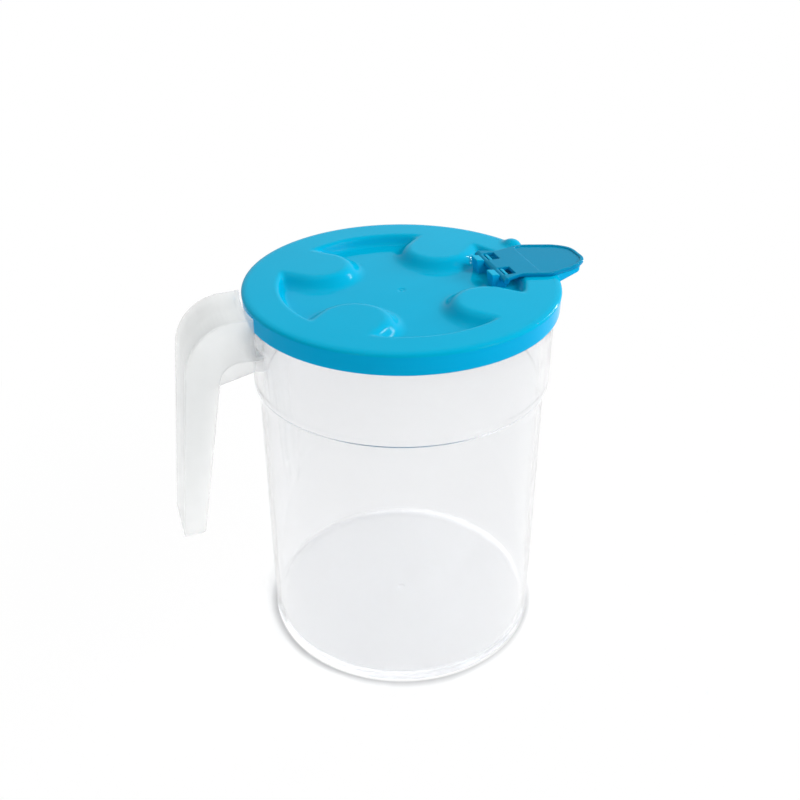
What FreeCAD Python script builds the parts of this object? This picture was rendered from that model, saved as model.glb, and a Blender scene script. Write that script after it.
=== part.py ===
import FreeCAD, Part
import math
import os
import types

import Sketcher

# A plastic formula jug with its handle moulded in one, a press-on lid and a pour flap that clips to the lid.
# Frame: origin at the centre of the base, +Z up, +X towards the spout, handle on the -X side. Millimetres.

SIZES = {
    # jug
    "body_radius": 57.5,
    "body_height": 117.2,
    "body_taper": 0.1,
    "base_edge_radius": 2.0,
    "collar_step": 1.9,
    "collar_slope": 0.1,
    "collar_height": 36.4,
    "rim_round": 0.6,
    "jug_wall": 2.0,
    "jug_floor": 2.5,
    "floor_fillet": 2.5,
    "seat_depth": 6.7,
    "seat_slope": 3.8,
    # handle, a channel with a centre web, open towards the jug and at its foot
    "handle_top_width": 27.4,
    "handle_foot_width": 22.3,
    "handle_wall": 1.6,
    "handle_web": 2.4,
    "handle_rise": 1.1,
    "handle_length": 91.8,
    "handle_lean": 6.1,
    "handle_standoff": 35.65,
    "handle_corner_radius": 20.0,
    "foot_depth": 8.75,
    "foot_outer_radius": 0.4,
    "foot_inner_radius": 1.8,
    "finger_gap": 14.1,
    "finger_corner_radius": 7.7,
    "arm_cover": 0.1,
    "arm_depth": 17.1,
    "gusset_depth": 32.7,
    "gusset_root_depth": 27.8,
    "slot_depth": 15.7,
    "slot_fit": 0.8,
    # lid
    "skirt_fit": 0.4,
    "skirt_wall": 1.7,
    "skirt_depth": 8.5,
    "skirt_draft": 0.2,
    "lid_edge_radius": 1.5,
    "lid_plate": 2.2,
    "ring_fit": 0.35,
    "ring_wall": 1.6,
    "ring_depth": 5.2,
    "rim_band": 14.2,
    "recess_depth": 4.1,
    "recess_draft": 1.6,
    "gate_mark_radius": 1.1,
    "gate_mark_depth": 0.3,
    # four finger lobes in the lid's recess
    "lobe_setback": 10.3,
    "lobe_overrun": 4.4,
    "lobe_foot_radius": 17.0,
    "lobe_slope": 45.7,
    "front_lobe_azimuth": 47.0,
    "rear_lobe_azimuth": 136.5,
    # spout of the lid
    "beak_length": 12.7,
    "beak_root_setback": 3.5,
    "beak_root_width": 30.8,
    "beak_nose_taper": 2.7,
    "beak_bend_width": 19.6,
    "beak_nose_width": 11.0,
    "beak_corner_radius": 3.0,
    "beak_root_depth": 4.0,
    "beak_nose_depth": 2.2,
    "channel_width": 15.2,
    "channel_root_depth": 0.9,
    "channel_nose_depth": 1.1,
    "pour_margin": 1.8,
    "pour_width": 16.4,
    "pour_corner_radius": 1.0,
    "lug_setback": 5.8,
    "lug_side": 20.4,
    "lug_length": 6.4,
    "lug_width": 7.6,
    "lug_rise": 1.9,
    # hinge, a rod on the flap that snaps down into two clips on the lid
    "hinge_setback": 9.5,
    "rod_radius": 1.3,
    "rod_length": 29.4,
    "rod_sink": 0.2,
    "rod_fit": 0.06,
    "clip_spacing": 15.4,
    "clip_width": 5.8,
    "clip_wall": 1.1,
    "clip_back": 4.6,
    "clip_foot": 3.5,
    "clip_rise": 1.7,
    "clip_mouth": 2.2,
    "clip_lead_in": 1.3,
    # pour flap, its reach measured from the hinge
    "flap_thickness": 1.5,
    "flap_length": 38.0,
    "flap_root_width": 30.0,
    "flap_waist": 6.8,
    "flap_waist_width": 24.8,
    "flap_wing": 18.7,
    "flap_wing_width": 31.4,
    "flap_nose_taper": 5.3,
    "flap_bend_width": 22.4,
    "flap_nose_width": 12.4,
    "flap_curve_radius": 8.0,
    "flap_bend_radius": 14.0,
    "flap_nose_radius": 8.0,
    "flap_border": 1.5,
    "dish_depth": 0.5,
    "dish_start": 15.2,
    "window_side": 0.45,
    "window_reach": 5.2,
    "plug_fit": 0.5,
    "plug_wall": 1.0,
    "plug_depth": 1.2,
    "rib_setback": 3.2,
    "rib_fit": 0.5,
    "rib_depth": 0.8,
}


class Dim:
    """A length or an angle: its number, and the expression that keeps a feature tied to the sheet."""

    def __init__(self, value, text=None):
        self.value = float(value)
        self.text = text if text is not None else f"({self.value!r})"

    def __add__(self, other):
        other = as_dim(other)
        return Dim(self.value + other.value, f"({self.text} + {other.text})")

    def __sub__(self, other):
        other = as_dim(other)
        return Dim(self.value - other.value, f"({self.text} - {other.text})")

    def __rsub__(self, other):
        return as_dim(other) - self

    def __mul__(self, other):
        other = as_dim(other)
        return Dim(self.value * other.value, f"({self.text} * {other.text})")

    def __truediv__(self, other):
        other = as_dim(other)
        return Dim(self.value / other.value, f"({self.text} / {other.text})")

    def __neg__(self):
        return Dim(-self.value, f"(0 - {self.text})")

    __radd__ = __add__
    __rmul__ = __mul__


def as_dim(number):
    return number if isinstance(number, Dim) else Dim(number)


def sine(angle):
    return Dim(math.sin(math.radians(angle.value)), f"sin({angle.text})")


def cosine(angle):
    return Dim(math.cos(math.radians(angle.value)), f"cos({angle.text})")


def tangent(angle):
    return Dim(math.tan(math.radians(angle.value)), f"tan({angle.text})")


def arc_sine(ratio):
    return Dim(math.degrees(math.asin(ratio.value)), f"(asin({ratio.text}) / 1 deg)")


def make_sheet(doc):
    """Put every driving size in the sheet, and return them and what follows from them by name."""
    sheet = doc.addObject("Spreadsheet::Sheet", "Sizes")
    for row, (name, value) in enumerate(SIZES.items(), start=1):
        sheet.set(f"A{row}", name)
        sheet.set(f"B{row}", str(value))
        sheet.setAlias(f"B{row}", name)
    doc.recompute()
    s = types.SimpleNamespace(**{name: Dim(getattr(sheet, name), f"Sizes.{name}") for name in SIZES})

    s.base_radius = s.body_radius - s.body_taper
    s.collar_radius = s.body_radius + s.collar_step
    s.collar_start = s.body_height + s.collar_slope
    s.rim_height = s.collar_start + s.collar_height
    s.mouth_radius = s.collar_radius - s.jug_wall
    s.ring_seat = s.rim_height - s.seat_depth

    s.lid_radius = s.collar_radius + s.skirt_fit + s.skirt_wall
    s.lid_top = s.rim_height + s.lid_plate
    s.recess_radius = s.lid_radius - s.rim_band
    s.recess_top = s.lid_top - s.recess_depth
    s.recess_bottom = s.recess_top - s.lid_plate
    s.skirt_bottom = s.lid_top - s.skirt_depth
    s.beak_reach = s.lid_radius + s.beak_length
    s.pour_near = s.recess_radius + s.lid_plate
    s.pour_far = s.mouth_radius - s.pour_margin

    s.hinge_reach = s.recess_radius - s.hinge_setback
    s.hinge_height = s.lid_top + s.flap_thickness - s.rod_sink - s.rod_radius
    return s


def origin_plane(body, role):
    for feature in body.Origin.OriginFeatures:
        if feature.Role == role:
            return feature
    raise RuntimeError(f"{body.Label} has no {role}")


def new_sketch(body, name, role, offset=None):
    """A sketch on one of the body's own planes, moved along the plane's normal by offset."""
    sketch = body.newObject("Sketcher::SketchObject", name)
    sketch.AttachmentSupport = [(origin_plane(body, role), "")]
    sketch.MapMode = "FlatFace"
    if offset is not None:
        sketch.setExpression(".AttachmentOffset.Base.z", as_dim(offset).text)
    return sketch


def bind(sketch, kind, *items):
    """Add a constraint whose last item is its size, tied to the sheet."""
    *where, amount = items
    amount = as_dim(amount)
    index = sketch.addConstraint(Sketcher.Constraint(kind, *where, amount.value))
    sketch.setExpression(f"Constraints[{index}]", amount.text)


def place_point(sketch, geometry, end, x, y):
    """Fix one point of a sketch at x and y from the sketch's origin."""
    for axis_line, kind, amount in ((-2, "DistanceX", as_dim(x)), (-1, "DistanceY", as_dim(y))):
        if amount.text == "(0.0)":
            sketch.addConstraint(Sketcher.Constraint("PointOnObject", geometry, end, axis_line))
        else:
            bind(sketch, kind, -1, 1, geometry, end, amount)


def outline(sketch, corners):
    """Draw a closed outline through corners (x, y) or, rounded, (x, y, radius)."""
    count = len(corners)
    points = [FreeCAD.Vector(as_dim(c[0]).value, as_dim(c[1]).value, 0) for c in corners]
    radii = [as_dim(c[2]) if len(c) > 2 else None for c in corners]
    starts, ends = [], []
    for i, point in enumerate(points):
        back = (points[i - 1] - point).normalize()
        ahead = (points[(i + 1) % count] - point).normalize()
        trim = 0.0
        if radii[i]:
            trim = radii[i].value / math.tan(back.getAngle(ahead) / 2)
        ends.append(point + back * trim)
        starts.append(point + ahead * trim)
    lines = [
        sketch.addGeometry(Part.LineSegment(starts[i], ends[(i + 1) % count]), False) for i in range(count)
    ]
    for i, (point, radius) in enumerate(zip(points, radii)):
        before, after = lines[i - 1], lines[i]
        if radius is None:
            sketch.addConstraint(Sketcher.Constraint("Coincident", before, 2, after, 1))
            place_point(sketch, after, 1, corners[i][0], corners[i][1])
            continue
        inward = ((ends[i] - point).normalize() + (starts[i] - point).normalize()).normalize()
        half = (ends[i] - point).getAngle(starts[i] - point) / 2
        centre = point + inward * (radius.value / math.sin(half))
        turns_left = (point - ends[i]).cross(starts[i] - point).z > 0
        near, far = (1, 2) if turns_left else (2, 1)
        tips = (ends[i], starts[i]) if turns_left else (starts[i], ends[i])
        bounds = [math.atan2(tip.y - centre.y, tip.x - centre.x) for tip in tips]
        ring = Part.Circle(centre, FreeCAD.Vector(0, 0, 1), radius.value)
        arc = sketch.addGeometry(Part.ArcOfCircle(ring, *bounds), False)
        mark = sketch.addGeometry(Part.Point(point), True)
        sketch.addConstraint(Sketcher.Constraint("Tangent", before, 2, arc, near))
        sketch.addConstraint(Sketcher.Constraint("Tangent", arc, far, after, 1))
        sketch.addConstraint(Sketcher.Constraint("PointOnObject", mark, 1, before))
        sketch.addConstraint(Sketcher.Constraint("PointOnObject", mark, 1, after))
        place_point(sketch, mark, 1, corners[i][0], corners[i][1])
        bind(sketch, "Radius", arc, radius)
    return sketch


def circle(sketch, x, y, radius):
    centre = FreeCAD.Vector(as_dim(x).value, as_dim(y).value, 0)
    ring = sketch.addGeometry(Part.Circle(centre, FreeCAD.Vector(0, 0, 1), radius.value), False)
    place_point(sketch, ring, 3, x, y)
    bind(sketch, "Radius", ring, radius)
    return sketch


def mirrored(corners):
    """Complete an outline that is the same on both sides of the X axis."""
    return corners + [(c[0], -as_dim(c[1]), *c[2:]) for c in reversed(corners)]


def finish_feature(body, feature, grows):
    """Recompute a new feature, and stop if it didn't add or take away material as it should."""
    before = body.Tip.BaseFeature.Shape.Volume if body.Tip.BaseFeature else 0.0
    body.Document.recompute()
    after = feature.Shape.Volume
    if (after <= before) if grows else (after >= before):
        raise RuntimeError(f"{body.Label}: {feature.Label} changed nothing")
    return feature


def extrude(body, kind, name, sketch, length, symmetric=False, backwards=False, taper=None):
    """Pad or pocket a sketch along its normal."""
    feature = body.newObject(f"PartDesign::{kind}", name)
    feature.Profile = sketch
    feature.SideType = "Symmetric" if symmetric else "One side"
    feature.Reversed = backwards
    feature.setExpression("Length", as_dim(length).text)
    if taper is not None:
        feature.setExpression("TaperAngle", as_dim(taper).text)
    return finish_feature(body, feature, grows=kind == "Pad")


def turn(body, kind, name, sketch, angle=360, symmetric=False):
    """Revolve or groove a sketch about the jug's axis."""
    feature = body.newObject(f"PartDesign::{kind}", name)
    feature.Profile = sketch
    feature.ReferenceAxis = (sketch, ["V_Axis"])
    feature.Midplane = symmetric
    feature.setExpression("Angle", as_dim(angle).text)
    return finish_feature(body, feature, grows=kind == "Revolution")


def new_body(doc, label):
    body = doc.addObject("PartDesign::Body", label)
    body.Label = label
    return body


def make_jug(doc, s):
    """The clear jug: a nearly straight body, a wider collar for the lid, and the handle in one with it.

    Inside, the wall is straight up to a seat for the lid's sealing ring.
    """
    body = new_body(doc, "jug")
    section = new_sketch(body, "jug_section", "XZ_Plane")
    outline(section, [
        (0, 0),
        (s.base_radius, 0, s.base_edge_radius),
        (s.body_radius, s.body_height),
        (s.collar_radius, s.collar_start),
        (s.collar_radius, s.rim_height, s.rim_round),
        (s.mouth_radius, s.rim_height, s.rim_round),
        (s.mouth_radius, s.ring_seat),
        (s.body_radius - s.jug_wall, s.ring_seat - s.seat_slope),
        (s.base_radius - s.jug_wall, s.jug_floor, s.floor_fillet),
        (0, s.jug_floor),
    ])
    turn(body, "Revolution", "jug_shell", section)
    add_handle(body, s)
    return body


def add_handle(body, s):
    """The handle: an outer strip, two side flanges and a centre web, with a slot for the lid's skirt."""
    wall = s.handle_wall
    lean = tangent(s.handle_lean)
    root = s.mouth_radius + s.arm_cover
    top = s.rim_height + s.handle_rise
    foot = top - s.handle_length
    foot_reach = s.collar_radius + s.handle_standoff
    finger_foot = foot_reach - s.foot_depth
    finger_reach = s.collar_radius + s.finger_gap
    arm_root = top - s.arm_depth
    corner_reach = foot_reach - s.handle_length * lean
    block = new_sketch(body, "handle_outline", "XZ_Plane")
    outline(block, [
        (-root, top),
        (-corner_reach, top, s.handle_corner_radius),
        (-foot_reach, foot, s.foot_outer_radius),
        (-finger_foot, foot, s.foot_inner_radius),
        (-finger_reach, arm_root, s.finger_corner_radius),
        (-root, arm_root),
    ])
    extrude(body, "Pad", "handle_block", block, s.handle_top_width, symmetric=True)

    # the inside is cut away on both sides of the web, and the outer strip put back
    narrowing = (s.handle_top_width - s.handle_foot_width) / 2 / s.handle_length
    beyond = foot - wall
    half_beyond = s.handle_foot_width / 2 - wall * narrowing
    hollow_top = top - wall
    half_hollow_top = s.handle_top_width / 2 - wall * narrowing - wall
    hollows = new_sketch(body, "handle_hollow_outline", "YZ_Plane", -s.collar_radius)
    for side in (1, -1):
        outline(hollows, [
            (s.handle_web / 2 * side, beyond),
            ((half_beyond - wall) * side, beyond),
            (half_hollow_top * side, hollow_top),
            (s.handle_web / 2 * side, hollow_top),
        ][::side])
    extrude(body, "Pocket", "handle_hollows", hollows, s.handle_standoff + s.collar_radius)
    side_wall = wall / cosine(s.handle_lean)
    strip = new_sketch(body, "handle_strip_outline", "XZ_Plane")
    outline(strip, [
        (-root, top),
        (-corner_reach, top, s.handle_corner_radius),
        (-foot_reach, foot, s.foot_outer_radius),
        (-(foot_reach - side_wall), foot),
        (-(corner_reach + wall * lean - side_wall), hollow_top, s.handle_corner_radius - wall),
        (-root, hollow_top),
    ])
    extrude(body, "Pad", "handle_strip", strip, s.handle_top_width, symmetric=True)

    # below the arm the web goes on as a gusset, up to the collar
    finger_slope = (finger_foot - finger_reach) / (arm_root - foot)
    gusset_foot = top - s.gusset_depth
    gusset = new_sketch(body, "gusset_outline", "XZ_Plane")
    outline(gusset, [
        (-root, arm_root + wall),
        (-finger_reach, arm_root + wall),
        (-(finger_reach + (arm_root - gusset_foot) * finger_slope), gusset_foot),
        (-root, top - s.gusset_root_depth),
    ])
    extrude(body, "Pad", "gusset", gusset, s.handle_web, symmetric=True)

    # the arm ends in a wall that curves round the skirt, on a shelf that reaches the collar
    slot = s.lid_radius + s.slot_fit
    shelf = top - s.slot_depth
    shelf_root = s.collar_radius - s.jug_wall / 2
    end_wall = new_sketch(body, "arm_end_section", "XZ_Plane")
    outline(end_wall, [
        (-slot, top),
        (-(slot + wall), top),
        (-(slot + wall), shelf - wall),
        (-shelf_root, shelf - wall),
        (-shelf_root, shelf),
        (-slot, shelf),
    ])
    sweep = arc_sine(s.handle_top_width / (2 * slot)) * 2
    turn(body, "Revolution", "arm_end_wall", end_wall, angle=sweep, symmetric=True)

    above = top + wall
    skirt_slot = new_sketch(body, "skirt_slot_section", "XZ_Plane")
    outline(skirt_slot, [
        (s.collar_radius, shelf),
        (slot, shelf),
        (slot, above),
        (s.mouth_radius - s.jug_wall, above),
        (s.mouth_radius - s.jug_wall, s.rim_height),
        (s.collar_radius, s.rim_height),
    ])
    turn(body, "Groove", "skirt_slot", skirt_slot)

    # the handle narrows towards its foot
    clear = s.handle_top_width
    sides = new_sketch(body, "handle_side_outline", "YZ_Plane", -(s.collar_radius + s.skirt_fit))
    for side in (1, -1):
        outline(sides, [
            (half_beyond * side, beyond),
            (s.handle_top_width / 2 * side, top),
            (clear * side, top),
            (clear * side, beyond),
        ][::side])
    extrude(body, "Pocket", "handle_sides", sides, s.handle_standoff + s.collar_radius)


def lobe_outline(sketch, s, azimuth):
    """A lobe's foot: a half circle towards the lid's centre, with straight sides out to the rim."""
    along = (cosine(azimuth), sine(azimuth))
    distance = s.recess_radius - s.lobe_setback
    reach = s.lobe_setback + s.lobe_overrun

    def spot(forward, side):
        return (
            along[0] * (distance + forward) - along[1] * side,
            along[1] * (distance + forward) + along[0] * side,
        )

    radius = s.lobe_foot_radius
    corners = [spot(Dim(0), radius), spot(Dim(0), -radius), spot(reach, -radius), spot(reach, radius)]
    points = [FreeCAD.Vector(x.value, y.value, 0) for x, y in corners]
    inner = spot(-radius, Dim(0))
    middle = FreeCAD.Vector(inner[0].value, inner[1].value, 0)
    arc = sketch.addGeometry(Part.Arc(points[0], middle, points[1]), False)
    lines = [
        sketch.addGeometry(Part.LineSegment(points[i], points[(i + 1) % 4]), False) for i in (1, 2, 3)
    ]
    sketch.addConstraint(Sketcher.Constraint("Tangent", arc, 2, lines[0], 1))
    sketch.addConstraint(Sketcher.Constraint("Coincident", lines[0], 2, lines[1], 1))
    sketch.addConstraint(Sketcher.Constraint("Coincident", lines[1], 2, lines[2], 1))
    sketch.addConstraint(Sketcher.Constraint("Coincident", lines[2], 2, arc, 1))
    place_point(sketch, arc, 1, *corners[0])
    place_point(sketch, lines[0], 1, *corners[1])
    place_point(sketch, lines[1], 1, *corners[2])
    place_point(sketch, lines[2], 1, *corners[3])
    return sketch


def make_lid(doc, s):
    """The lid: plate, recess with four lobes, skirt, sealing ring, spout and two hinge clips."""
    body = new_body(doc, "lid")
    skirt_inner = s.collar_radius + s.skirt_fit
    ring_outer = s.mouth_radius - s.ring_fit
    ring_inner = ring_outer - s.ring_wall
    ring_bottom = s.rim_height - s.ring_depth
    section = new_sketch(body, "lid_section", "XZ_Plane")
    outline(section, [
        (0, s.recess_bottom),
        (s.recess_radius - s.recess_draft + s.lid_plate, s.recess_bottom),
        (s.recess_radius + s.lid_plate, s.rim_height),
        (ring_inner, s.rim_height),
        (ring_inner, ring_bottom),
        (ring_outer, ring_bottom),
        (ring_outer, s.rim_height),
        (skirt_inner, s.rim_height),
        (skirt_inner, s.skirt_bottom),
        (s.lid_radius - s.skirt_draft, s.skirt_bottom),
        (s.lid_radius, s.lid_top, s.lid_edge_radius),
        (s.recess_radius, s.lid_top),
        (s.recess_radius - s.recess_draft, s.recess_top),
        (0, s.recess_top),
    ])
    turn(body, "Revolution", "lid_shell", section)
    add_beak(body, s)

    # the jug's rim sits in this seat, also where the beak's root crosses it
    seat = new_sketch(body, "rim_seat_section", "XZ_Plane")
    outline(seat, [
        (ring_outer, s.rim_height),
        (ring_outer, s.skirt_bottom),
        (skirt_inner, s.skirt_bottom),
        (skirt_inner, s.rim_height),
    ])
    turn(body, "Groove", "rim_seat", seat)
    add_pour_opening(body, s)
    add_lobes(body, s)
    add_clips(body, s)
    mark = circle(new_sketch(body, "gate_mark_outline", "XY_Plane", s.recess_top), 0, 0, s.gate_mark_radius)
    extrude(body, "Pocket", "gate_mark", mark, s.gate_mark_depth)
    return body


def add_beak(body, s):
    """The pouring beak outside the skirt, thinner towards its nose, with a small lug beside its root."""
    clear = s.lid_plate
    bottom = s.lid_top - s.beak_root_depth
    beak = new_sketch(body, "beak_outline", "XY_Plane", bottom)
    outline(beak, mirrored([
        (s.lid_radius - s.beak_root_setback, s.beak_root_width / 2),
        (s.beak_reach - s.beak_nose_taper, s.beak_bend_width / 2, s.beak_corner_radius),
        (s.beak_reach, s.beak_nose_width / 2, s.beak_corner_radius),
    ]))
    extrude(body, "Pad", "beak", beak, s.beak_root_depth)
    under = new_sketch(body, "beak_underside", "XZ_Plane")
    outline(under, [
        (s.lid_radius, bottom),
        (s.lid_radius, bottom - clear),
        (s.beak_reach + clear, bottom - clear),
        (s.beak_reach + clear, s.lid_top - s.beak_nose_depth),
        (s.beak_reach, s.lid_top - s.beak_nose_depth),
    ])
    extrude(body, "Pocket", "beak_underside_slope", under, s.beak_root_width, symmetric=True)
    lug = body.newObject("PartDesign::AdditiveEllipsoid", "rim_lug")
    lug.AttachmentSupport = [(origin_plane(body, "XY_Plane"), "")]
    lug.MapMode = "FlatFace"
    lug.setExpression("Radius1", s.lug_rise.text)
    lug.setExpression("Radius2", (s.lug_length / 2).text)
    lug.setExpression("Radius3", (s.lug_width / 2).text)
    lug.setExpression(".AttachmentOffset.Base.x", (s.lid_radius - s.lug_setback).text)
    lug.setExpression(".AttachmentOffset.Base.y", s.lug_side.text)
    lug.setExpression(".AttachmentOffset.Base.z", s.lid_top.text)
    finish_feature(body, lug, grows=True)


def add_pour_opening(body, s):
    """The hole through the plate inside the jug's mouth, and the channel from it over the rim."""
    clear = s.lid_plate
    start = s.pour_far - s.plug_wall
    channel = new_sketch(body, "channel_side", "XZ_Plane")
    outline(channel, [
        (start, s.lid_top + clear),
        (start, s.lid_top - s.channel_root_depth),
        (s.lid_radius, s.lid_top - s.channel_root_depth),
        (s.beak_reach + clear, s.lid_top - s.channel_nose_depth),
        (s.beak_reach + clear, s.lid_top + clear),
    ])
    extrude(body, "Pocket", "pouring_channel", channel, s.channel_width, symmetric=True)
    opening = new_sketch(body, "pour_outline", "XY_Plane", s.lid_top)
    outline(opening, mirrored([
        (s.pour_near, s.pour_width / 2, s.pour_corner_radius),
        (s.pour_far, s.pour_width / 2, s.pour_corner_radius),
    ]))
    extrude(body, "Pocket", "pour_opening", opening, s.lid_plate + s.ring_depth + clear)


def add_lobes(body, s):
    """Four hollow lobes that rise from the recess to the rim; the underside follows the outside."""
    azimuths = (
        ("front_left", s.front_lobe_azimuth),
        ("rear_left", s.rear_lobe_azimuth),
        ("rear_right", -s.rear_lobe_azimuth),
        ("front_right", -s.front_lobe_azimuth),
    )
    for name, azimuth in azimuths:
        foot = lobe_outline(new_sketch(body, f"{name}_lobe_outline", "XY_Plane", s.recess_top), s, azimuth)
        extrude(body, "Pad", f"{name}_lobe", foot, s.recess_depth, taper=-s.lobe_slope)
        inside = new_sketch(body, f"{name}_hollow_outline", "XY_Plane", s.recess_bottom)
        lobe_outline(inside, s, azimuth)
        extrude(body, "Pocket", f"{name}_hollow", inside, s.recess_depth, backwards=True, taper=-s.lobe_slope)


def add_clips(body, s):
    """Two clips on the recess floor, open at the top, into which the flap's rod snaps."""
    x, z = s.hinge_reach, s.hinge_height
    bore = s.rod_radius + s.rod_fit
    front = x + bore + s.clip_wall
    sunk = s.recess_top - s.lid_plate / 2
    edge = s.clip_wall / 3
    for side, name in ((1, "left"), (-1, "right")):
        block = new_sketch(body, f"{name}_clip_outline", "XZ_Plane", s.clip_spacing / 2 * -side)
        outline(block, [
            (x - s.clip_foot, sunk),
            (front - s.clip_wall / 2, sunk),
            (front, z + s.rod_radius, edge),
            (x, z + s.rod_radius),
            (x - s.clip_back, z + s.clip_rise, edge),
        ])
        extrude(body, "Pad", f"{name}_clip", block, s.clip_width, symmetric=True)
    span = s.clip_spacing + s.clip_width
    hole = circle(new_sketch(body, "rod_bore_outline", "XZ_Plane"), x, z, bore)
    extrude(body, "Pocket", "rod_bore", hole, span, symmetric=True)
    mouth = new_sketch(body, "clip_mouth_outline", "XZ_Plane")
    half = s.clip_mouth / 2
    outline(mouth, [
        (x - half, z),
        (x + half, z),
        (x + half, z + s.clip_rise + s.clip_lead_in),
        (x - half - s.clip_lead_in, z + s.clip_rise + s.clip_lead_in),
        (x - half, z + s.clip_rise - s.clip_lead_in / 2),
    ])
    extrude(body, "Pocket", "clip_mouths", mouth, span, symmetric=True)


def make_flap(doc, s):
    """The pour flap: a dished plate with a hinge rod, two windows for the clips, a plug and a rib."""
    body = new_body(doc, "pour_flap")
    x, z = s.hinge_reach, s.hinge_height
    bottom = s.lid_top
    top = bottom + s.flap_thickness
    bend = x + s.flap_length - s.flap_nose_taper
    plate = new_sketch(body, "flap_outline", "XY_Plane", bottom)
    outline(plate, mirrored([
        (x, s.flap_root_width / 2),
        (x + s.flap_waist, s.flap_waist_width / 2, s.flap_curve_radius / 2),
        (x + s.flap_wing, s.flap_wing_width / 2, s.flap_curve_radius),
        (bend, s.flap_bend_width / 2, s.flap_bend_radius),
        (x + s.flap_length, s.flap_nose_width / 2, s.flap_nose_radius),
    ]))
    extrude(body, "Pad", "flap_plate", plate, s.flap_thickness)
    dish = new_sketch(body, "dish_outline", "XY_Plane", top)
    outline(dish, mirrored([
        (x + s.dish_start, s.flap_wing_width / 2 - 2 * s.flap_border, s.flap_border),
        (x + s.flap_wing, s.flap_wing_width / 2 - s.flap_border, s.flap_curve_radius / 2),
        (bend - s.flap_border / 2, s.flap_bend_width / 2 - s.flap_border, s.flap_bend_radius - s.flap_border),
        (x + s.flap_length - s.flap_border, s.flap_nose_width / 2 - s.flap_border / 2,
         s.flap_nose_radius - s.flap_border),
    ]))
    extrude(body, "Pocket", "dish", dish, s.dish_depth)

    # the rod's middle and end stretches join the plate; between them the clips pass through windows
    half_window = s.clip_width / 2 + s.window_side
    for side, name in ((1, "left"), (-1, "right")):
        middle = s.clip_spacing / 2 * side
        window = new_sketch(body, f"{name}_window_outline", "XY_Plane", top)
        outline(window, [
            (x - s.rod_radius, middle - half_window),
            (x + s.window_reach, middle - half_window),
            (x + s.window_reach, middle + half_window),
            (x - s.rod_radius, middle + half_window),
        ])
        extrude(body, "Pocket", f"{name}_window", window, s.flap_thickness)
    rod = circle(new_sketch(body, "rod_outline", "XZ_Plane"), x, z, s.rod_radius)
    extrude(body, "Pad", "hinge_rod", rod, s.rod_length, symmetric=True)

    near = s.pour_near + s.plug_fit
    far = s.pour_far - s.plug_fit
    half = s.pour_width / 2 - s.plug_fit
    plug = new_sketch(body, "plug_outline", "XY_Plane", bottom)
    outline(plug, mirrored([(near, half, s.pour_corner_radius), (far, half, s.pour_corner_radius)]))
    outline(plug, mirrored([(near + s.plug_wall, half - s.plug_wall), (far - s.plug_wall, half - s.plug_wall)]))
    extrude(body, "Pad", "plug", plug, s.plug_depth, backwards=True)
    rib_far = s.beak_reach - s.rib_setback
    rib_half = s.channel_width / 2 - s.rib_fit
    rib = new_sketch(body, "rib_outline", "XY_Plane", bottom)
    outline(rib, mirrored([(rib_far - s.plug_wall, rib_half), (rib_far, rib_half)]))
    extrude(body, "Pad", "drip_rib", rib, s.rib_depth, backwards=True)
    return body


def check_document(doc):
    """Stop if any feature failed."""
    for item in doc.Objects:
        if any(word in item.State for word in ("Invalid", "Error")):
            raise RuntimeError(f"{item.Label} failed: {item.State}")


def write_parts(bodies):
    """Write each sub-part's solid to its own STEP file."""
    os.makedirs("parts", exist_ok=True)
    for body in bodies:
        shape = body.Shape
        if shape.isNull() or not shape.isValid():
            raise RuntimeError(f"{body.Label} has no valid shape")
        print(body.Label, len(shape.Solids), "solid", round(shape.Volume / 1000, 2), "cm3")
    for body in bodies:
        body.Shape.exportStep(f"parts/{body.Label}.step")


doc = FreeCAD.newDocument("formula_jug")
sizes = make_sheet(doc)
bodies = [make_jug(doc, sizes), make_lid(doc, sizes), make_flap(doc, sizes)]
doc.recompute()
check_document(doc)
write_parts(bodies)
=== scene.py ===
import math

import bpy
import numpy as np
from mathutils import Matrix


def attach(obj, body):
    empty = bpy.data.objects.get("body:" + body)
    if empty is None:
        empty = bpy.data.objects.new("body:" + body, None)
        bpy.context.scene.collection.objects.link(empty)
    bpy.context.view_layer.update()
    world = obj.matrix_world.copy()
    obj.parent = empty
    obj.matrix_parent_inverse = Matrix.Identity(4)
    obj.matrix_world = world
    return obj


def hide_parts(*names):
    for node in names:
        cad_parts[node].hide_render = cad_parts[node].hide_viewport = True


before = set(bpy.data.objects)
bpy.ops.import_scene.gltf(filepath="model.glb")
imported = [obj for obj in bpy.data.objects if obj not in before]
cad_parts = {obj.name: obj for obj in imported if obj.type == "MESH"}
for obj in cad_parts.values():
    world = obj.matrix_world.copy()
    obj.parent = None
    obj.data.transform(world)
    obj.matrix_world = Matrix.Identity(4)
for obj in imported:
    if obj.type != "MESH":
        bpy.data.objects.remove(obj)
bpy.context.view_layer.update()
MM = 0.001


# ---------------------------------------------------------------- clear jug
# The jug is injection moulded in clear polypropylene, 2 mm thick: a nearly straight
# body, and on a sharp ledge a wider collar that the lid presses over, with a seat for the
# lid's sealing ring inside. All lengths in this file are millimetres until a mesh is made.

BODY_RADIUS = 57.5
BASE_RADIUS = 57.4
COLLAR_RADIUS = 59.4
LEDGE = 117.2
JUG_RIM = 153.7
RING_SEAT = 148.2
WALL = 2.0
FLOOR_THICKNESS = 2.5


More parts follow.
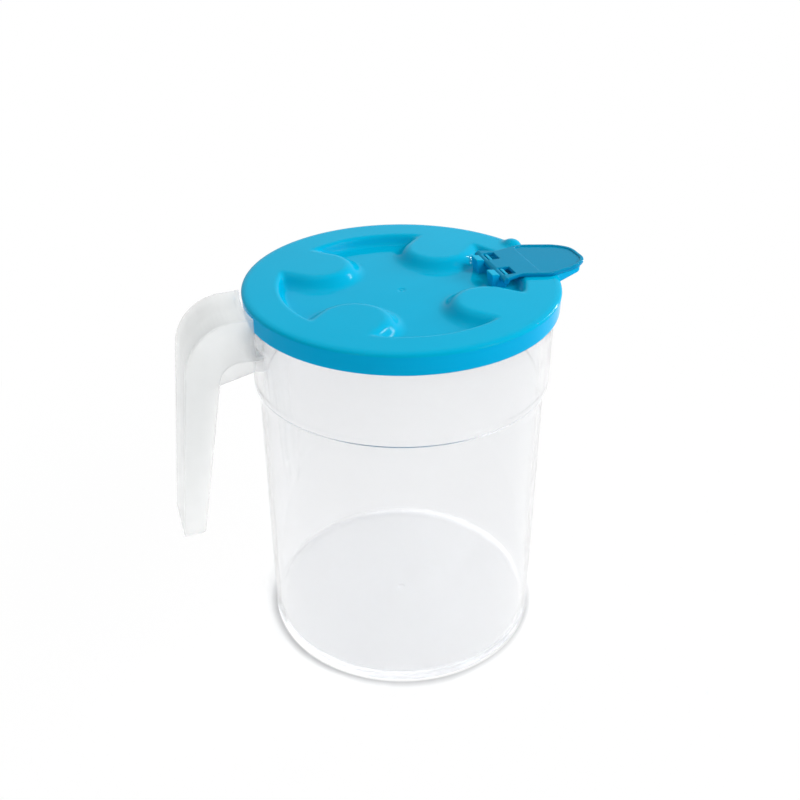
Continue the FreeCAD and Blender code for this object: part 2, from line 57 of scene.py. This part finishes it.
def rounded(corners, closed=True, step=9.0):
    """Points along an outline whose corners (x, y, radius) are rounded with arcs."""
    path = []
    count = len(corners)
    for i, corner in enumerate(corners):
        here = np.array(corner[:2], float)
        radius = corner[2] if len(corner) > 2 else 0.0
        end_point = not closed and i in (0, count - 1)
        if radius == 0.0 or end_point:
            path.append(tuple(here))
            continue
        back = np.array(corners[i - 1][:2], float) - here
        ahead = np.array(corners[(i + 1) % count][:2], float) - here
        back /= np.linalg.norm(back)
        ahead /= np.linalg.norm(ahead)
        half = math.acos(np.clip(back @ ahead, -1, 1)) / 2
        middle = (back + ahead) / np.linalg.norm(back + ahead)
        centre = here + middle * radius / math.sin(half)
        first = here + back * radius / math.tan(half) - centre
        sweep = math.pi - 2 * half
        turn = math.copysign(1, back[1] * ahead[0] - back[0] * ahead[1])
        pieces = max(2, math.ceil(math.degrees(sweep) / step))
        for k in range(pieces + 1):
            a = turn * sweep * k / pieces
            path.append((
                centre[0] + first[0] * math.cos(a) - first[1] * math.sin(a),
                centre[1] + first[0] * math.sin(a) + first[1] * math.cos(a),
            ))
    return path


def mesh_piece(name, points, faces):
    """A smooth mesh object from points in millimetres and faces of three or four."""
    mesh = bpy.data.meshes.new(name)
    mesh.from_pydata((np.asarray(points) * MM).tolist(), [], faces)
    mesh.validate()
    mesh.shade_smooth()
    piece = bpy.data.objects.new(name, mesh)
    bpy.context.scene.collection.objects.link(piece)
    return piece


def turned(name, section, segments):
    """A piece of revolution about Z from a section (r, z) that starts and ends on the axis."""
    angles = np.arange(segments) * 2 * math.pi / segments
    inner = section[1:-1]
    points = [(0, 0, section[0][1])]
    for r, z in inner:
        points += [(r * math.cos(a), r * math.sin(a), z) for a in angles]
    points.append((0, 0, section[-1][1]))
    faces = []
    for j in range(segments):
        after = (j + 1) % segments
        faces.append((0, 1 + after, 1 + j))
        for i in range(len(inner) - 1):
            low, high = 1 + i * segments, 1 + (i + 1) * segments
            faces.append((low + j, low + after, high + after, high + j))
        last = 1 + (len(inner) - 1) * segments
        faces.append((last + j, last + after, len(points) - 1))
    return mesh_piece(name, points, faces)


def straight_cuts(section, longest):
    """The section with its long straight runs divided."""
    path = [section[0]]
    for (ax, ay), (bx, by) in zip(section, section[1:]):
        pieces = max(1, math.ceil(math.hypot(bx - ax, by - ay) / longest))
        path += [(ax + (bx - ax) * k / pieces, ay + (by - ay) * k / pieces) for k in range(1, pieces + 1)]
    return path


jug_section = rounded([
    (0, 0),
    (BASE_RADIUS, 0, 2.0),
    (BODY_RADIUS, LEDGE, 0.06),
    (COLLAR_RADIUS, LEDGE + 0.1, 0.12),
    (COLLAR_RADIUS, JUG_RIM, 0.6),
    (COLLAR_RADIUS - WALL, JUG_RIM, 0.6),
    (COLLAR_RADIUS - WALL, RING_SEAT, 0.3),
    (BODY_RADIUS - WALL, RING_SEAT - 0.8, 0.3),
    (BASE_RADIUS - WALL, FLOOR_THICKNESS, 2.5),
    (1.6, FLOOR_THICKNESS, 0.3),
    (1.1, FLOOR_THICKNESS - 0.35, 0.2),
    (0, FLOOR_THICKNESS - 0.35),
], closed=False)
jug_shell = turned("jug_shell", straight_cuts(jug_section, 8.0), 240)


class Signal:
    """A shader value. Arithmetic on it adds Math nodes, and node() adds any other kind."""

    def __init__(self, tree, socket=None):
        self.tree = tree
        self.socket = socket

    def node(self, kind, settings=None, values=None, output=0):
        made = self.tree.nodes.new(kind)
        for name, value in (settings or {}).items():
            if name == "stops":
                ramp = made.color_ramp.elements
                while len(ramp) < len(value):
                    ramp.new(1.0)
                for element, (place, shade) in zip(ramp, value):
                    element.position = place
                    element.color = (*([shade] * 3 if isinstance(shade, float) else shade), 1)
            else:
                setattr(made, name, value)
        for name, value in (values or {}).items():
            if isinstance(value, Signal):
                self.tree.links.new(value.socket, made.inputs[name])
            else:
                made.inputs[name].default_value = value
        return Signal(self.tree, made.outputs[output] if made.outputs else None)

    def math(self, operation, *terms, clamp=False):
        return self.node("ShaderNodeMath", {"operation": operation, "use_clamp": clamp}, dict(enumerate(terms)))

    def __add__(self, other):
        return self.math("ADD", self, other)

    def __sub__(self, other):
        return self.math("SUBTRACT", self, other)

    def __rsub__(self, other):
        return self.math("SUBTRACT", other, self)

    def __mul__(self, other):
        return self.math("MULTIPLY", self, other)

    def __truediv__(self, other):
        return self.math("DIVIDE", self, other)

    def __pow__(self, other):
        return self.math("POWER", self, other)

    __radd__ = __add__
    __rmul__ = __mul__

    def clamped(self):
        return self.math("ADD", self, 0.0, clamp=True)


def new_finish(name):
    """A blank material, its tree as a Signal."""
    material = bpy.data.materials.new(name)
    material.use_nodes = True
    material.node_tree.nodes.clear()
    return material, Signal(material.node_tree)


def noise(tree, place, scale, detail=2.0, stretch=None):
    """Smooth noise from 0 to 1 over the object's own space, in cycles per metre."""
    if stretch is not None:
        place = tree.node("ShaderNodeVectorMath", {"operation": "MULTIPLY"}, {0: place, 1: stretch})
    return tree.node("ShaderNodeTexNoise", {}, {"Vector": place, "Scale": scale, "Detail": detail})


def object_place(tree):
    """The point being shaded, in the object's own space."""
    return tree.node("ShaderNodeTexCoord", output=3)


def object_normal(tree):
    """The normal being shaded, in the object's own space."""
    return tree.node("ShaderNodeTexCoord", output=1)


def part_of(tree, vector, axis):
    """One coordinate of a vector: 0, 1 or 2 for X, Y or Z."""
    return tree.node("ShaderNodeSeparateXYZ", {}, {0: vector}, output=axis)


def blend(tree, amount, first, second):
    """One colour that turns into another as amount goes from 0 to 1."""
    return tree.node("ShaderNodeMix", {"data_type": "RGBA"}, {0: amount, 6: first, 7: second}, output=2)


def mixed(tree, amount, first, second):
    """One shader that turns into another as amount goes from 0 to 1."""
    return tree.node("ShaderNodeMixShader", {}, {0: amount, 1: first, 2: second})


def grey(tree, tone):
    return tree.node("ShaderNodeCombineColor", {}, {"Red": tone, "Green": tone, "Blue": tone})


CAMERA_RAY, SHADOW_RAY, GLOSSY_RAY, TRANSMISSION_RAY = 0, 1, 3, 6


def ray_is(tree, *kinds):
    """1 for rays of any of these kinds, else 0."""
    first, *others = [tree.node("ShaderNodeLightPath", output=kind) for kind in kinds]
    return sum(others, first).clamped() if others else first


def glass_clear():
    """Clear polypropylene: it bends light as the real wall does, with faint flow streaks from the mould."""
    material, tree = new_finish("clear_polypropylene")
    place = object_place(tree)
    streaks = noise(tree, place, 60.0, 3.0, (1.0, 1.0, 0.06))
    clouds = noise(tree, place, 28.0, 2.0)
    flow = (streaks * 0.6 + clouds * 0.4).clamped()
    colour = blend(tree, flow, (0.915, 0.919, 0.928, 1), (0.945, 0.948, 0.954, 1))
    bump = tree.node("ShaderNodeBump", {}, {"Strength": 0.03, "Distance": 0.0004, "Height": streaks + clouds})
    skin = tree.node("ShaderNodeBsdfPrincipled", {}, {
        "Base Color": colour, "Roughness": 0.03 + clouds * 0.04, "IOR": 1.49,
        "Transmission Weight": 0.91, "Normal": bump})
    height = part_of(tree, place, 2)
    # the thick corner at the foot lets less light through to the table, and is faintly milky
    let_through = 0.05 + ((height - 0.001) * 125.0).clamped() * 0.89
    clear = tree.node("ShaderNodeBsdfTransparent", {}, {"Color": grey(tree, let_through)})
    milk = tree.node("ShaderNodeBsdfTranslucent", {}, {"Color": (0.965, 0.97, 0.985, 1)})
    milkiness = 0.5 - ((height - 0.003) * 330.0).clamped() * 0.5
    wall = mixed(tree, milkiness.clamped(), skin, milk)
    tree.node("ShaderNodeOutputMaterial", {}, {"Surface": mixed(tree, ray_is(tree, SHADOW_RAY), wall, clear)})
    return material


jug_shell.data.materials.append(glass_clear())
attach(jug_shell, "jug_body")
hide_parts("jug")


# ------------------------------------------------------------------- handle
# The handle is moulded in one with the jug, a channel that is open towards the jug and at
# its foot: an outer strip, two side flanges and a centre web that goes on below the arm as
# a gusset. The arm ends in a wall round the lid's skirt, on a shelf that meets the collar.

HANDLE_TOP = 154.8
HANDLE_FOOT = 63.0
HANDLE_WALL = 1.6
HANDLE_WEB = 2.4
SKIRT_SLOT = 62.3
SHELF = 139.1


def distance_to(outline, x, y):
    """Signed distance from a closed outline, negative inside it."""
    x, y = np.broadcast_arrays(x, y)
    nearest = np.full(x.shape, 1e9)
    inside = np.zeros(x.shape, bool)
    for (ax, ay), (bx, by) in zip(outline, outline[1:] + outline[:1]):
        along = np.clip(((x - ax) * (bx - ax) + (y - ay) * (by - ay)) / ((bx - ax) ** 2 + (by - ay) ** 2), 0, 1)
        nearest = np.minimum(nearest, np.hypot(x - ax - (bx - ax) * along, y - ay - (by - ay) * along))
        if ay != by:
            inside ^= ((ay > y) != (by > y)) & (x < (bx - ax) * (y - ay) / (by - ay) + ax)
    return np.where(inside, -nearest, nearest)


def both(a, b, soft):
    """The part that two shapes share, its edges rounded over about soft."""
    near = np.maximum(soft - np.abs(a - b), 0.0) / soft
    return np.maximum(a, b) + near * near * soft / 4


def joined(a, b, soft):
    """Two shapes as one, with a fillet of about soft between them."""
    return -both(-a, -b, soft)


def without(a, b, soft):
    """Shape a with shape b cut out of it."""
    return both(a, -b, soft)


def between(value, low, high):
    return np.maximum(low - value, value - high)


def moulded(name, shape, low, high, cell):
    """A mesh skin over the solid where shape(x, y, z) is negative, on a grid of that cell."""
    axes = [np.arange(a - 1.5 * cell, b + 2.5 * cell, cell) for a, b in zip(low, high)]
    grid = np.meshgrid(*axes, indexing="ij", sparse=True)
    size = [len(a) for a in axes]
    field = np.broadcast_to(shape(*grid), size).astype(np.float32)
    solid = field < 0
    corner = [(i, j, k) for i in (0, 1) for j in (0, 1) for k in (0, 1)]
    cut = {c: tuple(slice(o, n - 1 + o) for o, n in zip(c, size)) for c in corner}
    filled = sum(solid[cut[c]].astype(np.int8) for c in corner)
    mixed = np.argwhere((filled > 0) & (filled < 8))
    number = np.full([n - 1 for n in size], -1, np.int64)
    number[tuple(mixed.T)] = np.arange(len(mixed))
    total = np.zeros((len(mixed), 3))
    hits = np.zeros((len(mixed), 1))
    for a in corner:
        for axis in range(3):
            if a[axis]:
                continue
            b = tuple(1 if k == axis else a[k] for k in range(3))
            fa = field[tuple((mixed + a).T)]
            fb = field[tuple((mixed + b).T)]
            crossing = ((fa < 0) != (fb < 0))[:, None]
            share = (fa / np.where(fa == fb, 1, fa - fb))[:, None]
            spot = np.array(a) + share * (np.array(b) - np.array(a))
            total += np.where(crossing, spot, 0)
            hits += crossing
    points = (mixed + total / hits) * cell + [a[0] for a in axes]
    tiny = cell * 0.05
    for _ in range(3):
        value = shape(*points.T)
        slope = np.stack([
            (shape(*(points + step).T) - shape(*(points - step).T)) / (2 * tiny)
            for step in np.eye(3) * tiny], 1)
        steep = np.maximum((slope ** 2).sum(1), 0.25)
        move = np.clip(value / steep, -cell / 3, cell / 3)
        points -= move[:, None] * slope
    faces = []
    for axis in range(3):
        u, v = [(1, 2), (2, 0), (0, 1)][axis]
        first = tuple(slice(1, n - 1) if k != axis else slice(0, n - 1) for k, n in enumerate(size))
        second = tuple(slice(1, n - 1) if k != axis else slice(1, n) for k, n in enumerate(size))
        change = solid[first].astype(np.int8) - solid[second].astype(np.int8)
        for sign in (1, -1):
            at = np.argwhere(change == sign)
            at[:, u] += 1
            at[:, v] += 1
            ring = []
            for du, dv in ((-1, -1), (0, -1), (0, 0), (-1, 0)):
                cell_at = at.copy()
                cell_at[:, u] += du
                cell_at[:, v] += dv
                ring.append(number[tuple(cell_at.T)])
            faces.append(np.stack(ring[::sign], 1))
    return mesh_piece(name, points, np.concatenate(faces).tolist())


handle_outline = rounded([
    (-54.0, HANDLE_TOP),
    (-85.24, HANDLE_TOP, 20.0),
    (-95.05, HANDLE_FOOT, 0.6),
    (-86.3, HANDLE_FOOT, 1.8),
    (-73.5, 137.7, 7.7),
    (-54.0, 137.7),
], step=5.0)
handle_inside = rounded([
    (-50.0, HANDLE_TOP - HANDLE_WALL),
    (-83.8, HANDLE_TOP - HANDLE_WALL, 18.4),
    (-93.87, HANDLE_FOOT - 4.0),
    (-50.0, HANDLE_FOOT - 4.0),
], step=5.0)
gusset_outline = [(-54.0, 139.3), (-73.5, 139.3), (-76.2, 122.1), (-54.0, 127.9)]


def handle_shape(x, y, z):
    reach = np.hypot(x, y)
    half_width = 11.15 + (z - HANDLE_FOOT) * (13.7 - 11.15) / (HANDLE_TOP - HANDLE_FOOT)
    sides = np.abs(y) - half_width
    block = both(distance_to(handle_outline, x, z), sides, 0.5)
    channel = both(sides + HANDLE_WALL, HANDLE_WEB / 2 - np.abs(y), 0.5)
    channel = both(distance_to(handle_inside, x, z), channel, 0.6)
    gusset = both(distance_to(gusset_outline, x, z), np.abs(y) - HANDLE_WEB / 2, 0.4)
    end_wall = both(between(reach, SKIRT_SLOT, SKIRT_SLOT + HANDLE_WALL), between(z, SHELF - 1.6, HANDLE_TOP), 0.4)
    shelf = both(reach - SKIRT_SLOT - HANDLE_WALL, between(z, SHELF - HANDLE_WALL, SHELF), 0.4)
    end = both(np.minimum(end_wall, shelf), np.maximum(sides, x), 0.4)
    whole = joined(joined(without(block, channel, 0.5), gusset, 0.5), end, 0.6)
    skirt_slot = np.maximum(reach - SKIRT_SLOT, SHELF - z)
    return without(without(whole, skirt_slot, 0.3), reach - COLLAR_RADIUS + 0.05, 0.2)


handle = moulded("handle", handle_shape, (-95.1, -13.8, 62.9), (-56.0, 13.8, 154.9), 0.45)


def milky_clear():
    """The same plastic where it is faintly milky, its surface finely matt."""
    material, tree = new_finish("clear_polypropylene_handle")
    place = object_place(tree)
    streaks = noise(tree, place, 70.0, 3.0, (1.0, 1.0, 0.12))
    clouds = noise(tree, place, 40.0, 2.0)
    # the outside of the strip faces away from the jug or up; it is thicker, so it lets a little less through, and it
    # is painted darker as shade
    normal = object_normal(tree)
    strip = ((part_of(tree, normal, 2) - part_of(tree, normal, 0) - 0.6) * 2.5).clamped()
    cover = 0.32 + strip * 0.14 + (streaks - 0.5) * 0.06 + (clouds - 0.5) * 0.08
    cover = cover * (1.0 - ray_is(tree, SHADOW_RAY) * 0.93)
    flow = (streaks * 0.5 + clouds * 0.5).clamped()
    colour = blend(tree, flow, (0.965, 0.98, 0.975, 1), (0.985, 0.99, 0.988, 1))
    # painted shade: the strip's outward faces are tinted a darker grey
    colour = blend(tree, strip * 0.7, colour, (0.81, 0.82, 0.815, 1))
    bump = tree.node("ShaderNodeBump", {}, {"Strength": 0.04, "Distance": 0.0004, "Height": streaks + clouds})
    skin = tree.node("ShaderNodeBsdfPrincipled", {}, {
        "Base Color": colour, "Roughness": 0.22 + (clouds - 0.5) * 0.1, "IOR": 1.49, "Normal": bump})
    glow = tree.node("ShaderNodeBsdfTranslucent", {}, {"Color": colour})
    milk = mixed(tree, 0.35, skin, glow)
    clear = tree.node("ShaderNodeBsdfTransparent", {}, {"Color": (1, 1, 1, 1)})
    tree.node("ShaderNodeOutputMaterial", {}, {"Surface": mixed(tree, cover.clamped(), clear, milk)})
    return material


handle.data.materials.append(milky_clear())
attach(handle, "jug_body")


# ---------------------------------------------------------------------- lid
# The lid is pressed on, moulded in blue polypropylene: a wide rim, a recess with four
# lobes for the fingertips, a skirt outside the collar and a sealing ring inside it, and a
# short beak with a pouring channel. A small round mark in the middle is the mould's gate.

LID_TOP = 155.9
RECESS_TOP = 151.8
PLATE = 2.2
RECESS_RADIUS = 47.3
LID_RADIUS = 61.5
SKIRT_BOTTOM = 147.4
RECESS_DRAFT = 1.6 / 4.1
SKIRT_INSIDE = 59.8
SKIRT_DRAFT = 0.0235
RING_INSIDE = 55.45
RING_OUTSIDE = 57.05
LOBES = (47.0, 136.5, -136.5, -47.0)
LOBE_RADIUS = 12.8
LOBE_REACH = 37.0
LOBE_FLANK = math.radians(45.7)

beak_outline = rounded([
    (56.0, 15.6), (71.5, 9.8, 3.0), (74.2, 5.5, 3.0), (74.2, -5.5, 3.0), (71.5, -9.8, 3.0), (56.0, -15.6),
], step=6.0)


def lobe_shape(x, y, z, azimuth):
    """One lobe: round towards the middle, straight-sided out to the rim, its flanks sloped."""
    a = math.radians(azimuth)
    along = x * math.cos(a) + y * math.sin(a) - LOBE_REACH
    across = y * math.cos(a) - x * math.sin(a)
    from_spine = np.hypot(np.minimum(along, 0.0), across)
    return (from_spine - LOBE_RADIUS - (LID_TOP - z) * math.tan(LOBE_FLANK)) * math.cos(LOBE_FLANK)


def upper_face(x, y, z, radius, soft):
    """The solid under a face with the lid's recess and lobes."""
    reach = np.hypot(x, y)
    wall = (radius - reach - (LID_TOP - z) * RECESS_DRAFT) / math.hypot(1, RECESS_DRAFT)
    solid = joined(wall, z - RECESS_TOP, soft)
    for azimuth in LOBES:
        solid = joined(solid, lobe_shape(x, y, z, azimuth), soft)
    return both(solid, z - LID_TOP, soft)


def lid_shape(x, y, z):
    reach = np.hypot(x, y)
    plate = without(upper_face(x, y, z, RECESS_RADIUS, 1.6),
                    upper_face(x, y, z + PLATE, RECESS_RADIUS + PLATE, 1.2), 0.6)
    outside = reach - LID_RADIUS + (LID_TOP - z) * SKIRT_DRAFT
    plate = both(plate, outside, 2.6)
    skirt = both(both(outside, SKIRT_INSIDE - reach, 0.6), between(z, SKIRT_BOTTOM, LID_TOP), 1.0)
    skirt = both(skirt, z - LID_TOP + 0.2, 1.6)
    ring = both(between(reach, RING_INSIDE, RING_OUTSIDE), between(z, 148.5, 154.5), 0.5)
    solid = joined(joined(plate, skirt, 0.8), ring, 0.5)
    beak = both(distance_to(beak_outline, x, y), z - LID_TOP, 0.8)
    beak = both(beak, LID_TOP - 4.0 + np.maximum(x - LID_RADIUS, 0) * (1.8 / 12.7) - z, 0.8)
    beak = both(beak, SKIRT_INSIDE - reach, 0.4)
    solid = joined(solid, beak, 0.8)
    channel_floor = LID_TOP - 0.9 - np.clip(x - LID_RADIUS, 0, 20) * 0.015
    channel = np.maximum(np.maximum(np.abs(y) - 7.6, channel_floor - z), 54.6 - x)
    opening = both(between(x, 49.5, 55.6), np.abs(y) - 8.2, 1.0)
    solid = without(without(solid, channel, 0.5), opening, 0.5)
    bulge = np.sqrt(((x - 55.7) / 3.2) ** 2 + ((y - 20.4) / 3.8) ** 2 + ((z - LID_TOP) / 1.9) ** 2)
    solid = joined(solid, np.maximum((bulge - 1) * 1.9, 154.5 - z), 1.6)
    mark = np.abs(reach - 0.9) - 0.3
    return without(solid, both(mark, RECESS_TOP - 0.25 - z, 0.3), 0.3)


lid = moulded("lid_shell", lid_shape, (-62.1, -62.1, 147.3), (74.3, 62.1, 157.9), 0.5)


def blue_finish(name, green, blue, roughness):
    """Blue polypropylene with a satin-gloss moulded skin, with shade painted as a deeper blue on steep faces."""
    material, tree = new_finish(name)
    place = object_place(tree)
    clouds = noise(tree, place, 22.0, 3.0)
    grain = noise(tree, place, 1400.0, 2.0)
    ripple = noise(tree, place, 70.0, 2.0)
    # painted shade: steep faces such as the skirt get a deeper, darker blue
    upright_painted_shade = 1.0 - (part_of(tree, object_normal(tree), 2) * 2.2).clamped()
    colour = blend(tree, clouds, (0.0, 0.375 * green, 0.60 * blue, 1), (0.0, 0.43 * green, 0.68 * blue, 1))
    colour = blend(tree, upright_painted_shade, colour, (0.0, 0.41 * green, 0.74 * blue, 1))
    bump = tree.node("ShaderNodeBump", {}, {
        "Strength": 0.05, "Distance": 0.0003, "Height": ripple + grain * 0.04})
    skin = tree.node("ShaderNodeBsdfPrincipled", {}, {
        "Base Color": colour, "Roughness": roughness + (clouds - 0.5) * 0.10 + (grain - 0.5) * 0.04,
        "IOR": 1.49, "Specular IOR Level": 0.03, "Normal": bump})
    tree.node("ShaderNodeOutputMaterial", {}, {"Surface": skin})
    return material


blue = blue_finish("blue_polypropylene", 0.96, 0.96, 0.1)
lid.data.materials.append(blue)
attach(lid, "lid_body")
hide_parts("lid")


# -------------------------------------------------------------- hinge clips
# Two clips moulded on the recess floor hold the flap's rod. They are open at the top, so
# that the rod snaps down into them; the wall on the lid's middle side is the thicker one.

HINGE_X = 37.8
HINGE_Z = 155.9
ROD_RADIUS = 1.3
CLIP_OFFSET = 7.7

clip_outline = rounded([
    (HINGE_X - 3.5, 150.9), (HINGE_X + 1.9, 150.9), (HINGE_X + 2.46, HINGE_Z + 1.3, 0.35),
    (HINGE_X, HINGE_Z + 1.3), (HINGE_X - 4.6, HINGE_Z + 1.7, 0.4),
], step=20.0)
clip_mouth = [
    (HINGE_X - 1.1, HINGE_Z), (HINGE_X + 1.1, HINGE_Z), (HINGE_X + 1.1, HINGE_Z + 3.0),
    (HINGE_X - 2.4, HINGE_Z + 3.0), (HINGE_X - 1.1, HINGE_Z + 1.0),
]


def clip_shape(x, y, z):
    block = both(distance_to(clip_outline, x, z), np.abs(np.abs(y) - CLIP_OFFSET) - 2.9, 0.35)
    bore = np.hypot(x - HINGE_X, z - HINGE_Z) - ROD_RADIUS - 0.06
    return without(without(block, bore, 0.1), distance_to(clip_mouth, x, z), 0.3)


clips = moulded("hinge_clips", clip_shape, (33.1, -10.7, 150.8), (40.4, 10.7, 157.7), 0.16)
clips.data.materials.append(blue)
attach(clips, "lid_body")


# ---------------------------------------------------------------- pour flap
# The flap turns on its own rod, which is bare where it passes through the two clips. Its
# front half is dished, and underneath a plug fits the pour opening.

FLAP_TOP = 157.4

flap_outline = rounded([
    (37.8, 15.0), (44.6, 12.4, 4.0), (56.5, 15.7, 8.0), (70.5, 11.2, 14.0), (75.8, 6.2, 8.0),
    (75.8, -6.2, 8.0), (70.5, -11.2, 14.0), (56.5, -15.7, 8.0), (44.6, -12.4, 4.0), (37.8, -15.0),
], step=6.0)
dish_outline = rounded([
    (53.0, 12.7, 1.5), (56.5, 14.2, 4.0), (69.75, 9.7, 12.5), (74.3, 5.45, 6.5),
    (74.3, -5.45, 6.5), (69.75, -9.7, 12.5), (56.5, -14.2, 4.0), (53.0, -12.7, 1.5),
], step=8.0)


def flap_shape(x, y, z):
    plate = both(distance_to(flap_outline, x, y), between(z, LID_TOP, FLAP_TOP), 0.5)
    plate = without(plate, both(distance_to(dish_outline, x, y), FLAP_TOP - 0.5 - z, 0.3), 0.35)
    window = np.maximum(np.abs(np.abs(y) - CLIP_OFFSET) - 3.35, x - HINGE_X - 5.2)
    plate = without(plate, window, 0.35)
    rod = both(np.hypot(x - HINGE_X, z - HINGE_Z) - ROD_RADIUS, np.abs(y) - 14.7, 0.3)
    solid = joined(plate, rod, 0.4)
    fit = both(between(x, 50.0, 55.1), np.abs(y) - 7.7, 1.0)
    plug = both(without(fit, both(between(x, 51.0, 54.1), np.abs(y) - 6.7, 0.5), 0.2), between(z, 154.7, 156.3), 0.3)
    rib = both(both(between(x, 70.0, 71.0), np.abs(y) - 7.1, 0.3), between(z, 155.1, 156.3), 0.3)
    return joined(joined(solid, plug, 0.3), rib, 0.3)


flap = moulded("flap_plate", flap_shape, (36.4, -15.8, 154.5), (75.9, 15.8, 157.5), 0.2)
# the flap's copy of the blue is scaled darker, as painted shade
flap.data.materials.append(blue_finish("blue_polypropylene_flap_painted_shade", 0.60, 0.66, 0.14))
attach(flap, "flap_body")
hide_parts("pour_flap")


# ------------------------------------------------------------ floor and light
# A white table top and an even white studio. The main soft box stands to the right of the
# camera, a weak one hangs overhead, and three narrow ones draw the highlights on the edges.

floor_mesh = bpy.data.meshes.new("floor")
floor_mesh.from_pydata([(-6, -6, 0), (6, -6, 0), (6, 6, 0), (-6, 6, 0)], [], [(0, 1, 2, 3)])
floor = bpy.data.objects.new("floor", floor_mesh)
bpy.context.scene.collection.objects.link(floor)


def white_ground():
    """A matt white top that looks evenly white; close round the jug's base it keeps the jug's shadow, darkened
    further by a painted shadow ring.
    """
    material, tree = new_finish("white_ground")
    place = object_place(tree)
    reach = tree.node("ShaderNodeVectorMath", {"operation": "LENGTH"}, {0: place}, output=1)
    # painted shadow: a ring round the base, out to 60.5 mm from the axis, darkens the matt's tone
    painted_contact_shadow = ((0.0605 - reach) * 250.0).clamped()
    tone = 0.88 + (noise(tree, place, 9.0, 2.0) - 0.5) * 0.01 - painted_contact_shadow * 0.45
    matt = tree.node("ShaderNodeBsdfPrincipled", {}, {"Base Color": grey(tree, tone), "Roughness": 0.9})
    even = tree.node("ShaderNodeEmission", {}, {"Color": (1, 1, 1, 1), "Strength": 1.0})
    under = 1.0 - ((reach - 0.0568) * 1500.0).clamped()
    beyond = tree.node("ShaderNodeMapRange", {"interpolation_type": "SMOOTHSTEP"}, {
        "Value": reach, "From Min": 0.0575, "From Max": 0.067, "To Min": 0.0, "To Max": 0.97})
    evenness = (beyond + under).clamped() + ((reach - 0.15) * 6.0).clamped() * 0.03
    evenness = evenness * ray_is(tree, CAMERA_RAY, GLOSSY_RAY, TRANSMISSION_RAY)
    tree.node("ShaderNodeOutputMaterial", {}, {"Surface": mixed(tree, evenness, matt, even)})
    return material


floor_mesh.materials.append(white_ground())
floor.location = (0, 0, -0.0003)

world = bpy.data.worlds.new("studio")
bpy.context.scene.world = world
world.use_nodes = True
world.node_tree.nodes.clear()
sky = Signal(world.node_tree)
seen = ray_is(sky, CAMERA_RAY, GLOSSY_RAY, TRANSMISSION_RAY)
backdrop = sky.node("ShaderNodeBackground", {}, {"Color": (1, 1, 1, 1), "Strength": 0.38 + seen * 0.62})
sky.node("ShaderNodeOutputWorld", {}, {"Surface": backdrop})


def soft_box(name, place, aim, size, power):
    """A soft box of that size in metres, facing aim."""
    lamp = bpy.data.lights.new(name, "AREA")
    lamp.shape = "RECTANGLE"
    lamp.size, lamp.size_y = size
    lamp.energy = power
    box = bpy.data.objects.new(name, lamp)
    box.location = place
    away = np.array(place) - np.array(aim)
    flat = math.hypot(away[0], away[1])
    box.rotation_euler = (math.atan2(flat, away[2]), 0, math.atan2(away[1], away[0]) + math.pi / 2)
    bpy.context.scene.collection.objects.link(box)
    return box


soft_box("right_light", (0.70, -0.565, 0.73), (0, 0, 0.1), (0.5, 0.8), 5.3)
soft_box("overhead_light", (-0.1, 0.3, 1.1), (0, 0, 0.1), (0.7, 0.7), 1.5)
soft_box("left_strip", (-0.75, -0.62, 0.65), (-0.08, 0, 0.13), (0.04, 0.6), 1.5)
soft_box("right_strip", (0.93, 0.35, 0.50), (0, 0, 0.15), (0.04, 0.7), 7.0)
soft_box("front_strip", (0.64, -0.42, 0.94), (0, 0, 0.15), (0.06, 0.3), 2.4)


# ------------------------------------------------------------------- camera
# A view from above the handle side, about 31 degrees down.

lens = bpy.data.cameras.new("view")
lens.sensor_width = 36.0
lens.lens = 45.14
lens.shift_x = -0.00195
camera = bpy.data.objects.new("view", lens)
camera.location = (-0.11497, -0.33771, 0.31337)
camera.rotation_euler = (math.radians(90 - 30.64), 0, math.radians(-18.8))
bpy.context.scene.collection.objects.link(camera)
bpy.context.scene.camera = camera
bpy.context.scene.view_settings.view_transform = "Standard"
